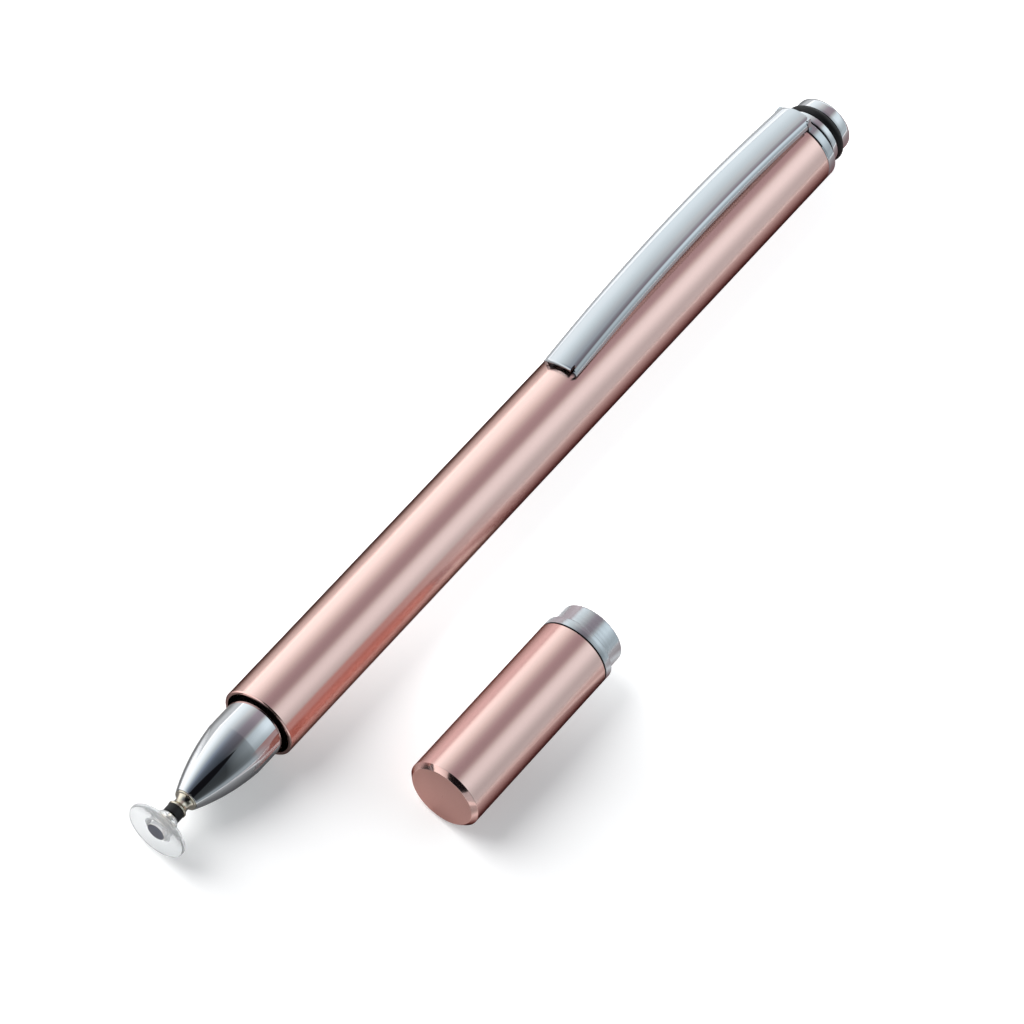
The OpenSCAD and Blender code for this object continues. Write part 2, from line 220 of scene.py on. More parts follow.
# Small turn of the ring, in radians, that keeps its facets off the riser's edges when the two are joined
RING_OFFSET_TURN = 0.004

# Axes of the pen and of the cap, from the frame
joint_at = {j["name"]: j.get("pos_m") for j in frame["joints"]}
mount_at = {m["name"]: m["pos_m"] for m in frame["record"]["mounts"]}
pen_origin = Vector((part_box("barrel")[0].x, *joint_at["disc_swivel"][1:]))
cap_origin = Vector((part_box("cap_shell")[0].x, *mount_at["cap_bore"][1:]))
PEN_Y = pen_origin.y / MM
CAP_Y = cap_origin.y / MM

# Studio. Levels are shares of paper white, and angles are degrees from overhead towards the pen's left.
# The floor is a disc of this radius in metres.
FLOOR_R = 20
FLOOR_SIDES = 96
PAPER = "#e7e6e5"
# The paper glows a little, and more to the rear: painted light that fades the shadows there. (place along the
# diagonal x + y in millimetres, glow) for both ends of the change, and the glow that metal sees
FLOOR_GLOW = [(-44, 0.27), (-12, 0.78)]
FLOOR_GLOW_IN_METAL = 0.2
WHITE = (1, 1, 1)
PEARL = (0.94, 1, 1.02)
COOL = (0.9, 1, 1.05)
MAUVE = (1.08, 0.9, 1)
BLUE = (0.86, 1, 1.22)
# Level that full white in a colour ramp stands for
PANEL_TOP = 2
# Pale cloth behind the panels, as the camera and the clear disc see it
BACKDROP = 0.97
# Long panels of the tent, as (angle, level, tint). The nose mirrors mostly the front ones, and the tubes
# mostly the rear ones.
TENT_FRONT = [
    (-180, 0.3, WHITE), (-95, 0.5, COOL), (-79, 0.45, COOL), (-69, 0.12, COOL), (-58, 0.07, COOL),
    (-40, 0.06, COOL), (0, 0.06, BLUE), (12, 0.1, BLUE), (22, 0.13, BLUE), (32, 0.22, BLUE), (41, 0.4, BLUE),
    (50, 0.68, COOL), (60, 1.08, PEARL), (70, 1.45, PEARL), (80, 1.65, WHITE), (95, 1.65, WHITE),
    (180, 0.5, WHITE),
]
TENT_REAR = [
    (-180, 0.3, WHITE), (-95, 0.58, COOL), (-79, 0.74, COOL), (-69, 0.68, COOL), (-58, 0.8, COOL),
    (-45, 1.04, COOL), (-35, 1.24, COOL), (-24, 1.26, COOL), (-13, 1.14, COOL), (-5, 0.72, WHITE),
    (2, 0.43, MAUVE), (12, 0.42, MAUVE), (25, 0.48, MAUVE), (38, 0.7, WHITE), (50, 0.98, WHITE),
    (58, 1.12, PEARL), (66, 1.24, PEARL), (75, 1.38, PEARL), (85, 1.45, PEARL), (95, 1.45, PEARL),
    (180, 0.5, WHITE),
]
# Share of the rear panels, by how much a direction points along the pen: 1 is straight to the rear
REAR_SHARE = [
    (-1, 0.85), (-0.55, 0.85), (-0.42, 0), (0, 0), (0.13, 0.14), (0.23, 0.25), (0.45, 0.75), (0.51, 1),
    (1, 1),
]
# Black gap between panels, over the front: its colour, and in degrees its middle, its half width, how fast
# that grows forwards, its most and the softness of its edge
GAP_BLACK = (0.004, 0.004, 0.005)
GAP_AT = -9
GAP_HALF = 8.5
GAP_GROWTH = 50
GAP_MOST = 50
GAP_SOFT = 2
# Graded cards that only the metal sees, flat on the floor. Each has a name, its stretch along the pen and
# across it in millimetres, the axis that it is graded from, its colour, and its density by the distance
# from that axis. The dark ones, densest by the pen, are painted shade: they put the shade of the floor
# beside the pieces into the metal's reflections, and the warm ones among them draw the red edges of the
# rose tubes. The bounce cards light the metal like lamps.
WARM_SHADE = (0.16, 0.026, 0.03)
SHADE_BLACK = (0.012, 0.013, 0.015)
BOUNCE = (1.9, 1.9, 1.9)
RIGHT_SHADE_DENSITY = [(0, 0.74), (9, 0.76), (13, 0.74), (25, 0.62), (45, 0.5), (110, 0.36)]
LEFT_SHADE_DENSITY = [
    (0, 0.75), (7.4, 0.7), (9.7, 0.58), (12, 0.38), (15.2, 0.24), (20, 0.16), (28, 0.2), (34, 0.2), (42, 0),
]
FLAT_CARDS = [
    ("pen_right_card", (-5, 110), (-2000, PEN_Y), PEN_Y, WARM_SHADE, RIGHT_SHADE_DENSITY),
    ("nose_right_card", (-66, -39), (-120, PEN_Y), PEN_Y, SHADE_BLACK, RIGHT_SHADE_DENSITY),
    ("cap_right_card", (-39, -5), (-2000, CAP_Y), CAP_Y, WARM_SHADE, RIGHT_SHADE_DENSITY),
    ("pen_left_card", (-66, 110), (PEN_Y, PEN_Y + 42), PEN_Y, SHADE_BLACK, LEFT_SHADE_DENSITY),
    ("left_bounce", (-400, 400), (58, 2000), PEN_Y, BOUNCE, [(49, 0), (75, 1)]),
    ("rear_bounce", (66, 400), (44, 90), PEN_Y, BOUNCE, [(35, 0), (46, 0.9), (66, 0.9), (80, 0)]),
    ("front_bounce", (-90, -46), (18, 60), PEN_Y, BOUNCE, [(9, 0), (13, 0.85)]),
]
# Upright cards between pen and cap. Each has a name, its stretches along the pen and in height, its place
# across the pen, its colour, its density by the height, the side that sees it (1 is +Y) and the lengths of
# its fades. The copper one is a painted reflection: it draws the red streak low on the barrel's front. The
# other keeps the cap's flank from mirroring the pen.
STREAK_REFLECTION = (0.5, 0.12, 0.08)
BLUSH = (1, 0.85, 0.88)
STREAK_DENSITY = [(0, 0.55), (5, 0.5), (8.5, 0.58), (11.8, 0.6)]
FLANK_DENSITY = [(0, 0.5), (3, 0.7), (6, 0.9), (8.4, 0.5), (10, 0)]
UPRIGHT_CARDS = [
    ("streak_card", (-47, 1), (0, 11.8), 0, STREAK_REFLECTION, STREAK_DENSITY, 1, (4, 26)),
    ("cap_flank_card", (-40, 2), (0, 10), -0.4, BLUSH, FLANK_DENSITY, -1, (4, 4)),
]
# Lengths over which a card fades at its ends, and its height over the floor, in millimetres
CARD_FADES = (4, 4)
CARD_HEIGHT = 0.1
# Soft key light from the pen's left, which draws the shadows
KEY_FROM = (-0.26, 0.7, 0.68)
KEY_LEVEL = 2.9
KEY_SOFTNESS = math.radians(38)

# Camera, fitted to the photograph's outlines: unit directions, and millimetres from the origin
CAMERA_RIGHT = (0.59487, -0.74199, 0.30917)
CAMERA_UP = (0.63504, 0.66961, 0.38516)
CAMERA_PLACE = (-378.37, -19.83, 665.08)
FOCAL_PX = 6918.75
PICTURE_PX = 1024
SENSOR_W = 36
# Nearest and farthest that the camera sees, in metres
NEAREST = 0.01
FARTHEST = 100


def linear(code):
    """Linear colour of an sRGB hex value."""
    parts = [int(code[i:i + 2], 16) / 255 for i in (1, 3, 5)]
    return (*(c / 12.92 if c <= 0.04045 else ((c + 0.055) / 1.055) ** 2.4 for c in parts), 1)


def add(tree, kind, inputs=None, **settings):
    """Adds a node. Inputs give a value, or another node's socket, for each socket name or number."""
    node = tree.nodes.new(kind)
    for name, value in settings.items():
        setattr(node, name, value)
    for socket, value in (inputs or {}).items():
        if isinstance(value, bpy.types.NodeSocket):
            tree.links.new(value, node.inputs[socket])
        else:
            node.inputs[socket].default_value = value
    return node


def per_mm(size):
    """Texture scale on Object coordinates for a pattern of that size in millimetres."""
    return 1 / (size * MM)


def ramp(tree, by, stops):
    """Colour that follows a value through (value, red, green, blue) stops."""
    node = add(tree, "ShaderNodeValToRGB", {0: by})
    while len(node.color_ramp.elements) < len(stops):
        node.color_ramp.elements.new(1)
    for element, (place, *colour) in zip(node.color_ramp.elements, stops):
        element.position = place
        element.color = (*colour, 1)
    return node.outputs["Color"]


def new_material(name):
    """Empty material, its tree, its Object coordinates and its surface socket."""
    material = bpy.data.materials.new(name)
    material.use_nodes = True
    tree = material.node_tree
    tree.nodes.clear()
    place = add(tree, "ShaderNodeTexCoord").outputs["Object"]
    surface = add(tree, "ShaderNodeOutputMaterial").inputs["Surface"]
    return material, tree, place, surface


def surface_finish(name, low, high, rough, patch, grain, grain_depth, stretch=(1, 1, 1), **shader):
    """Procedural finish: a tone that drifts over patches, and a fine grain in roughness and relief.

    low and high are the two tones, rough is the least and the most roughness, patch and grain are
    millimetres, grain_depth is micrometres, and stretch divides the grain's size along each axis.
    """
    material, tree, place, surface = new_material(name)
    drift = add(tree, "ShaderNodeTexNoise", {"Vector": place, "Scale": per_mm(patch), "Detail": 3})
    tone = add(tree, "ShaderNodeMix", {MIX_BY: drift.outputs["Fac"], MIX_A: linear(low),
        MIX_B: linear(high)}, data_type="RGBA")
    fine_place = add(tree, "ShaderNodeMapping", {"Vector": place, "Scale": stretch})
    fine = add(tree, "ShaderNodeTexNoise", {"Vector": fine_place.outputs["Vector"],
        "Scale": per_mm(grain), "Detail": 2})
    gloss = add(tree, "ShaderNodeMapRange", {"Value": fine.outputs["Fac"], "From Min": NOISE_LOW,
        "From Max": NOISE_HIGH, "To Min": rough[0], "To Max": rough[1]})
    relief = add(tree, "ShaderNodeBump", {"Height": fine.outputs["Fac"],
        "Distance": grain_depth * MICRON, "Strength": 1})
    body = add(tree, "ShaderNodeBsdfPrincipled", {"Base Color": tone.outputs[MIX_OUT],
        "Roughness": gloss.outputs["Result"], "Normal": relief.outputs["Normal"], **shader})
    tree.links.new(body.outputs["BSDF"], surface)
    return material


def arc(station, radius, r, start, stop, steps):
    """Points of an arc round a centre; angles are degrees from the radial direction to +X."""
    angles = [math.radians(start + (stop - start) * i / steps) for i in range(steps + 1)]
    return [(station + r * math.sin(a), radius + r * math.cos(a), 0) for a in angles]


def shade(bm):
    """Smooth faces, with the edges that bend sharply kept crisp."""
    for face in bm.faces:
        face.smooth = True
    for edge in bm.edges:
        edge.smooth = edge.is_manifold and edge.calc_face_angle(0) < SHARP_ANGLE


def settle(bm, name, origin, materials, turn=0.0):
    """Makes a piece of a mesh drawn in millimetres over +X, and puts its place into the mesh."""
    bmesh.ops.rotate(bm, verts=bm.verts, cent=(0, 0, 0), matrix=Matrix.Rotation(-turn, 3, "X"))
    bmesh.ops.scale(bm, verts=bm.verts, vec=(MM, MM, MM))
    bmesh.ops.translate(bm, verts=bm.verts, vec=origin)
    shade(bm)
    mesh = bpy.data.meshes.new(name)
    bm.to_mesh(mesh)
    bm.free()
    piece = bpy.data.objects.new(name, mesh)
    bpy.context.collection.objects.link(piece)
    for material in materials:
        mesh.materials.append(material)
    even = piece.modifiers.new("even_shading", "WEIGHTED_NORMAL")
    even.keep_sharp = True
    return piece


def turned(outline):
    """Mesh of a turned piece. The outline has (station, radius, rounding) points in millimetres.

    An outline whose ends lie on the axis makes a solid, and any other is closed and makes a ring.
    """
    bm = bmesh.new()
    points = [bm.verts.new((s, 0, r)) for s, r, _ in outline]
    solid = outline[0][1] == 0 and outline[-1][1] == 0
    for a, b in zip(points, points[1:] if solid else points[1:] + points[:1]):
        bm.edges.new((a, b))
    for point, (_, _, rounding) in zip(points, outline):
        if rounding:
            bmesh.ops.bevel(bm, geom=[point], offset=rounding, offset_type="OFFSET", segments=ROUND_STEPS,
                profile=0.5, affect="VERTICES", material=-1)
    bmesh.ops.spin(bm, geom=bm.verts[:] + bm.edges[:], cent=(0, 0, 0), axis=(1, 0, 0),
        angle=FULL_TURN, steps=TURN_STEPS, use_merge=True)
    bmesh.ops.remove_doubles(bm, verts=bm.verts, dist=SLACK)
    bmesh.ops.recalc_face_normals(bm, faces=bm.faces)
    return bm


def paint(bm, number, start, stop, inner=0.0, outer=math.inf):
    """Gives a second finish to the faces whose middle lies between two stations and two radii."""
    for face in bm.faces:
        middle = face.calc_center_median()
        if start <= middle.x <= stop and inner <= math.hypot(middle.y, middle.z) <= outer:
            face.material_index = number


# Dyed and sealed aluminium: a rose mirror under a satin skin, so light draws long soft bands
rose_satin = surface_finish("rose_anodised_aluminium", "#e9c6be", "#ebc9c1", (0.19, 0.23), 9, 0.12, 0.5,
    **{"Metallic": 1, "Specular Tint": linear("#4a2220")})
# The cap's end, faced off on a lathe and dyed: matt, with fine circles that hold the dye
rose_faced = surface_finish("rose_faced_aluminium", "#c39890", "#c89e96", (0.42, 0.5), 3, 0.1, 1.5,
    **{"Metallic": 0.75, "Specular Tint": linear("#a87a72")})
# Edge cut with a diamond tool, then dyed: smoother than the satin beside it
rose_cut = surface_finish("rose_diamond_cut_edge", "#e0b8b0", "#e3bcb4", (0.12, 0.16), 6, 0.2, 0.1,
    **{"Metallic": 1, "Specular Tint": linear("#4a2220")})
# Bright chromium plate over nickel: a cool mirror with the faintest haze
chrome = surface_finish("polished_chrome_plate", "#c8cacd", "#cdcfd2", (0.03, 0.055), 7, 0.3, 0.05,
    **{"Metallic": 1})
# The same chrome plate on the stamped clip, as a slightly darker and cooler copy: painted shade, so the clip reads
# darker than the nose
shaded_clip_chrome = surface_finish("stamped_clip_chrome_painted_shade", "#b9bdc1", "#bfc3c7", (0.03, 0.055), 7, 0.3, 0.05,
    **{"Metallic": 1})
# Turned aluminium, clear anodised: rings of the tool run round it and soften the reflection
turned_silver = surface_finish("turned_clear_aluminium", "#afb4b8", "#c8ccd0", (0.12, 0.26), 4, 0.25, 12,
    (1, 0.02, 0.02), **{"Metallic": 1})
# Nickel plate on turned brass: warmer and duller than the chrome
nickel = surface_finish("nickel_plated_brass", "#c9c1b1", "#d2cabb", (0.14, 0.22), 1.5, 0.08, 0.4,
    **{"Metallic": 1})
# Machined brass of the hidden bushings
brass = surface_finish("turned_brass", "#c2a25c", "#cdb06c", (0.2, 0.3), 3, 0.12, 1.5,
    (1, 0.05, 0.05), **{"Metallic": 1})
# Moulded nitrile rubber: near black, dull, with a soft sheen where it curves
rubber = surface_finish("black_nitrile_rubber", "#0c0c0d", "#131314", (0.38, 0.5), 1.2, 0.1, 3,
    **{"Metallic": 0, "Specular IOR Level": 0.3})
# Painted shade at the bottom of the narrow joints: nearly black, where the deep gaps fall into shade
joint_shade = surface_finish("painted_joint_shade", "#0b0b0c", "#111112", (0.6, 0.7), 1, 0.1, 1,
    **{"Metallic": 0, "Specular IOR Level": 0.1})
# Black acetal of the ball's seat: smoother than the rubber
acetal = surface_finish("black_acetal", "#131315", "#1a1a1c", (0.3, 0.36), 1, 0.1, 1, **{"Metallic": 0})
# Blasted steel end of the socket, seen through the disc's middle: dull grey
blasted = surface_finish("blasted_steel", "#5d5e67", "#6d6e77", (0.5, 0.6), 0.5, 0.08, 2,
    **{"Metallic": 0.6})
# Clear polycarbonate, injection moulded: see-through, with a faint milky haze
clear = surface_finish("clear_polycarbonate", "#e6e8e9", "#ecedee", (0.05, 0.1), 3, 0.3, 0.1,
    **{"Transmission Weight": 0.84, "IOR": 1.4})


def make(name, outline, origin, materials, node, body, bands=()):
    """Turned piece that stands for a node: made, painted, seated and put on its body."""
    bm = turned(outline)
    for band in bands:
        paint(bm, *band)
    piece = settle(bm, name, origin, materials)
    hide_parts(node)
    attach(piece, body)
    return piece


def barrel_outline():
    edge_r = BARREL_R - EDGE_CHAMFER
    return [
        (0, BARREL_BORE_R, DEBURR), (0, edge_r, DEBURR), (EDGE_CHAMFER, BARREL_R, DEBURR),
        (BARREL_LEN - EDGE_CHAMFER, BARREL_R, DEBURR), (BARREL_LEN, edge_r, DEBURR),
        (BARREL_LEN, BARREL_BORE_R, DEBURR),
    ]


def nose_outline():
    middle_r = NOSE_R - NOSE_ARC_R * math.cos(NOSE_CREASE)
    middle_s = NOSE_ARC_R * math.sin(NOSE_CREASE) - NOSE_STRAIGHT
    tip_angle = math.acos((NOSE_TIP_R - middle_r) / NOSE_ARC_R)
    ogive = arc(middle_s, middle_r, NOSE_ARC_R, -math.degrees(tip_angle),
        -math.degrees(NOSE_CREASE), OGIVE_STEPS)
    ogive[0] = (*ogive[0][:2], DEBURR)
    front, back = FRONT_RING_AT - GROOVE_W / 2, FRONT_RING_AT + GROOVE_W / 2
    return [
        (NOSE_BORE_END, 0, 0), (NOSE_BORE_END, NOSE_BORE_R, 0), (-NOSE_LEN, NOSE_BORE_R, 0), *ogive,
        (front, NOSE_R, DEBURR), (front, GROOVE_R, 0), (back, GROOVE_R, 0), (back, NOSE_R, DEBURR),
        (NOSE_SEAT, NOSE_R, DEBURR), (NOSE_SEAT, STUD_R, 0), (STUD_END, STUD_R, DEBURR), (STUD_END, 0, 0),
    ]


def ferrule_outline():
    waist_start, waist_end = FERRULE_FRONT + FERRULE_BAND, -NOSE_LEN - FERRULE_BAND
    half = (waist_end - waist_start) / 2
    depth = FERRULE_FRONT_R - FERRULE_WAIST_R
    hollow_r = (half ** 2 + depth ** 2) / (2 * depth)
    side = math.degrees(math.asin(half / hollow_r))
    hollow = arc(waist_start + half, FERRULE_WAIST_R + hollow_r, hollow_r, 180 + side, 180 - side,
        WAIST_STEPS)
    return [
        (FERRULE_FRONT, FERRULE_BORE_R, 0), (FERRULE_FRONT, FERRULE_FRONT_R, DEBURR), *hollow,
        (waist_end, FERRULE_RIM_R, DEBURR), (-NOSE_LEN, FERRULE_RIM_R, DEBURR),
        (-NOSE_LEN, FERRULE_SHANK_R, 0), (FERRULE_BACK, FERRULE_SHANK_R, 0),
        (FERRULE_BACK, FERRULE_BORE_R, 0),
    ]


def sleeve_outline():
    inner, outer = (math.degrees(math.acos(r / SLEEVE_BALL_R)) for r in (SLEEVE_BORE_R, SLEEVE_R))
    return [
        (SLEEVE_BACK, SLEEVE_BORE_R, 0), *arc(BALL_AT, 0, SLEEVE_BALL_R, inner, outer, SLEEVE_STEPS),
        (SLEEVE_BACK, SLEEVE_R, DEBURR),
    ]


def disc_outline():
    shoulder, mouth = (math.degrees(math.acos(r / HUB_BALL_R))
        for r in (HUB_R, math.sqrt(HUB_BALL_R ** 2 - (HUB_BACK - BALL_AT) ** 2)))
    return [
        (DISC_FRONT, SOCKET_HOLE_R, 0), (DISC_FRONT, DISC_R, DISC_ROUND), (DISC_BACK, DISC_R, DISC_ROUND),
        *arc(DISC_BACK + HUB_FLARE, HUB_R + HUB_FLARE, HUB_FLARE, -90, -180, FLARE_STEPS),
        *arc(BALL_AT, 0, HUB_BALL_R, shoulder, mouth, HUB_STEPS),
        (HUB_BACK, HUB_MOUTH_R, DEBURR), (SEAT_STOP, HUB_MOUTH_R, 0), (SEAT_STOP, SOCKET_HOLE_R, 0),
    ]


def socket_outline():
    lip = math.degrees(math.acos((SOCKET_BACK - BALL_AT) / CUP_R))
    ribs = []
    for i in range(RIBS):
        start = DISC_FRONT + RIBS_IN + 2 * i * RIB_W
        ribs += [(start, SOCKET_R, 0), (start, SOCKET_R - RIB_DEPTH, 0),
            (start + RIB_W, SOCKET_R - RIB_DEPTH, 0), (start + RIB_W, SOCKET_R, 0)]
    return [
        (DISC_FRONT, 0, 0), (DISC_FRONT, SOCKET_R, DEBURR), *ribs, (SOCKET_BACK, SOCKET_R, 0),
        *arc(BALL_AT, 0, CUP_R, 90 - lip, -90, CUP_STEPS)[:-1], (BALL_AT - CUP_R, 0, 0),
    ]


def seat_outline():
    front, back = (math.degrees(math.asin((s - BALL_AT) / CUP_R)) for s in (SOCKET_BACK, SEAT_BACK))
    return [
        (SOCKET_BACK, SOCKET_R, 0), (SEAT_BACK, SOCKET_R, 0),
        *arc(BALL_AT, 0, CUP_R, back, front, SEAT_STEPS),
    ]


def seal_outline(station):
    return arc(station, SEAL_MID_R, SEAL_R, 0, 360, SEAL_STEPS)[:-1]


def plug_outline():
    return [
        (PLUG_STUD_START, 0, 0), (PLUG_STUD_START, PLUG_STUD_R, DEBURR), (RING_END, PLUG_STUD_R, 0),
        (RING_END, NECK_R, 0), (NECK_END, NECK_R, 0), (NECK_END, COLLAR_R, 2 * DEBURR),
        (COLLAR_END, COLLAR_R, 2 * DEBURR), (COLLAR_END, GROOVE_R, 0), (BUTTON_START, GROOVE_R, 0),
        (BUTTON_START, BUTTON_R, 2 * DEBURR), (BUTTON_END, BUTTON_R, BUTTON_ROUND), (BUTTON_END, 0, 0),
    ]


def cap_shell_outline():
    return [
        (CAP_MARK_DEPTH, 0, 0), (CAP_MARK_DEPTH, CAP_MARK_R / 2, 0), (0, CAP_MARK_R, 0),
        (0, BARREL_R - CAP_CHAMFER, DEBURR), (CAP_CHAMFER, BARREL_R, DEBURR),
        (CAP_SHELL_LEN, BARREL_R, SEAM_ROUND), (CAP_SHELL_LEN, BARREL_BORE_R, 0),
        (CAP_END, BARREL_BORE_R, 0), (CAP_END, 0, 0),
    ]


def cap_insert_outline():
    return [
        (CAP_SLEEVE_START, CAP_NECK_BORE_R, 0), (CAP_SLEEVE_START, CAP_SLEEVE_R, 0),
        (CAP_SHELL_LEN, CAP_SLEEVE_R, 0), (CAP_SHELL_LEN, CAP_SEAM_R, 0), (CAP_BAND_START, CAP_SEAM_R, 0),
        (CAP_BAND_START, BARREL_R, SEAM_ROUND), (CAP_BAND_END - EDGE_CHAMFER, BARREL_R, DEBURR),
        (CAP_BAND_END, BARREL_R - EDGE_CHAMFER, DEBURR), (CAP_BAND_END, CAP_NECK_R, 0),
        (CAP_LEN - CAP_NECK_CHAMFER, CAP_NECK_R, DEBURR), (CAP_LEN, CAP_NECK_R - CAP_NECK_CHAMFER, DEBURR),
        (CAP_LEN, CAP_NECK_BORE_R, DEBURR),
    ]


make("barrel_tube", barrel_outline(), pen_origin, [rose_satin, rose_cut], "barrel", "pen",
    [(1, -OVERRUN, EDGE_CHAMFER - SLACK),
        (1, BARREL_LEN - EDGE_CHAMFER + SLACK, BARREL_LEN)])
make("chrome_nose", nose_outline(), pen_origin, [chrome], "nose_cone", "pen")
make("front_seal", seal_outline(FRONT_RING_AT), pen_origin, [rubber], "front_o_ring", "pen")
make("waisted_ferrule", ferrule_outline(), pen_origin, [nickel], "tip_ferrule", "pen")
make("pin_sleeve", sleeve_outline(), pen_origin, [rubber], "rubber_sleeve", "tip_pin")
make("clear_disc", disc_outline(), pen_origin, [clear], "contact_disc", "disc")
make("ribbed_socket", socket_outline(), pen_origin, [nickel, blasted], "disc_socket", "disc",
    [(1, DISC_FRONT - SLACK, DISC_FRONT + SLACK)])
make("seat_ring", seat_outline(), pen_origin, [acetal], "ball_seat", "disc")
# The neck behind the clip's ring is painted nearly black: painted shade of the narrow joint
make("rear_post", plug_outline(), pen_origin, [chrome, joint_shade], "rear_plug", "pen",
    [(1, RING_END + SLACK, NECK_END + SLACK)])
make("rear_seal", seal_outline((COLLAR_END + BUTTON_START) / 2), pen_origin, [rubber], "rear_o_ring", "pen")
make("cap_tube", cap_shell_outline(), cap_origin, [rose_satin, rose_cut, rose_faced], "cap_shell", "cap",
    [(1, 0, CAP_CHAMFER - SLACK), (2, -OVERRUN, SLACK),
        (2, -OVERRUN, CAP_MARK_DEPTH, 0, CAP_MARK_R)])
# The seam between the cap's shell and its neck is painted nearly black: painted shade of the narrow joint
make("cap_neck", cap_insert_outline(), cap_origin, [turned_silver, joint_shade], "cap_insert", "cap",
    [(1, CAP_SHELL_LEN - SLACK, CAP_BAND_START + SEAM_ROUND, CAP_SLEEVE_R + SLACK)])

# Pieces that stay as the frame has them, with the finish of the real ones
for node, material in (("front_bushing", brass), ("rear_bushing", brass), ("ball_pin", nickel)):
    frame["nodes"][node].data.materials.clear()
    frame["nodes"][node].data.materials.append(material)


def clip_section():
    """Half outline of the arm's section as (half width, height over the top edge) points."""
    half = CLIP_W / 2
    face = half - CLIP_EDGE_R
    crown_drop = math.sqrt(CLIP_CROWN_R ** 2 - face ** 2)
    crown = [(w, math.sqrt(CLIP_CROWN_R ** 2 - w ** 2) - crown_drop)
        for w in (face * i / CROWN_STEPS for i in range(CROWN_STEPS + 1))]
    tilt = math.asin(face / CLIP_CROWN_R)
    bend = (math.pi / 2 - tilt) / CLIP_EDGE_STEPS
    edge = [(face + CLIP_EDGE_R * math.sin(a), CLIP_EDGE_R * (math.cos(a) - 1))
        for a in (tilt + bend * (i + 1) for i in range(CLIP_EDGE_STEPS))]
    inside = half - CLIP_FLANGE_T
    flange = [(half, -CLIP_FLANGE), (inside, -CLIP_FLANGE), (inside, -CLIP_PLATE), (0, -CLIP_PLATE)]
    return crown + edge + flange


def bow_height(station):
    """Height of the arm's top edge over the pen's axis."""
    return CLIP_TOP - CLIP_BOW_R + math.sqrt(CLIP_BOW_R ** 2 - (station - CLIP_BOW_AT) ** 2)


def box_mesh(low, high):
    """Mesh of a box between two corners."""
    bm = bmesh.new()
    bmesh.ops.create_cube(bm, size=1)
    bmesh.ops.scale(bm, verts=bm.verts, vec=Vector(high) - Vector(low))
    bmesh.ops.translate(bm, verts=bm.verts, vec=(Vector(high) + Vector(low)) / 2)
    return bm


def cut(bm, tools, operation):
    """Joins or subtracts other meshes, in millimetres, and gives back one clean mesh."""
    body = bpy.data.objects.new("work", bpy.data.meshes.new("work"))
    bm.to_mesh(body.data)
    bm.free()
    bpy.context.collection.objects.link(body)
    helpers = []
    for tool in tools:
        helper = bpy.data.objects.new("tool", bpy.data.meshes.new("tool"))
        tool.to_mesh(helper.data)
        tool.free()
        bpy.context.collection.objects.link(helper)
        step = body.modifiers.new("step", "BOOLEAN")
        step.operation = operation
        step.solver = "EXACT"
        step.object = helper
        helpers.append(helper)
    made = bmesh.new()
    made.from_object(body, bpy.context.evaluated_depsgraph_get())
    for item in (body, *helpers):
        bpy.data.objects.remove(item, do_unlink=True)
    bmesh.ops.remove_doubles(made, verts=made.verts, dist=SLACK / 2)
    bmesh.ops.recalc_face_normals(made, faces=made.faces)
    return made


def clip_arm_mesh():
    """Bowed channel of the clip: its section swept along the bow, with shaped ends."""
    half = clip_section()
    outline = half + [(-w, h) for w, h in half[-2:0:-1]]
    centre = Vector((CLIP_BOW_AT, 0, CLIP_TOP - CLIP_BOW_R))
    turn_at = [math.asin((s - CLIP_BOW_AT) / CLIP_BOW_R) for s, _ in CLIP_STOPS]
    bm = bmesh.new()
    points = [bm.verts.new(centre + Vector((0, w, CLIP_BOW_R + h))) for w, h in outline]
    end = bm.faces.new(points)
    bmesh.ops.rotate(bm, verts=bm.verts, cent=centre, matrix=Matrix.Rotation(turn_at[0], 3, "Y"))
    last = [end, *end.edges, *end.verts]
    for a, b, (_, steps) in zip(turn_at, turn_at[1:], CLIP_STOPS[1:]):
        last = bmesh.ops.spin(bm, geom=last, cent=centre, axis=(0, 1, 0), angle=b - a, steps=steps,
            use_merge=False)["geom_last"]
    for vert in bm.verts:
        along = math.atan2(vert.co.x - centre.x, vert.co.z - centre.z)
        over_edge = (vert.co - centre).xz.length - CLIP_BOW_R
        from_foot = (along - turn_at[0]) * CLIP_BOW_R
        from_root = max((turn_at[-1] - along) * CLIP_BOW_R, 0)
        # The foot's lip and the rear corners are rounded
        if from_foot < CLIP_LIP_R and over_edge > LIP_FLOOR:
            short = CLIP_LIP_R - max(from_foot, 0)
            drop = CLIP_LIP_R - math.sqrt(CLIP_LIP_R ** 2 - short ** 2)
            vert.co.z = max(vert.co.z - drop, centre.z + (CLIP_BOW_R + LIP_FLOOR) * math.cos(along))
        if from_root < CLIP_CORNER:
            short = CLIP_CORNER - from_root
            inset = CLIP_CORNER - math.sqrt(CLIP_CORNER ** 2 - short ** 2)
            vert.co.y *= 1 - 2 * inset / CLIP_W
        # Behind the barrel's end the flanges are cut away, and over the barrel they follow its curve
        if over_edge < -CLIP_PLATE - SLACK:
            if along > turn_at[-2] + SLACK / CLIP_BOW_R:
                vert.co.z = centre.z + (CLIP_BOW_R - CLIP_PLATE - DEBURR) * math.cos(along)
            vert.co.z = max(vert.co.z, math.sqrt((BARREL_R + CLIP_GAP) ** 2 - vert.co.y ** 2))
    bmesh.ops.recalc_face_normals(bm, faces=bm.faces)
    return bm


def ring_outline():
    edge_r = BARREL_R - EDGE_CHAMFER
    return [
        (RING_START, RING_BORE_R, 0), (RING_START, edge_r, DEBURR),
        (RING_START + EDGE_CHAMFER, BARREL_R, DEBURR), (RING_END - EDGE_CHAMFER, BARREL_R, DEBURR),
        (RING_END, edge_r, DEBURR), (RING_END, RING_BORE_R, 0),
    ]


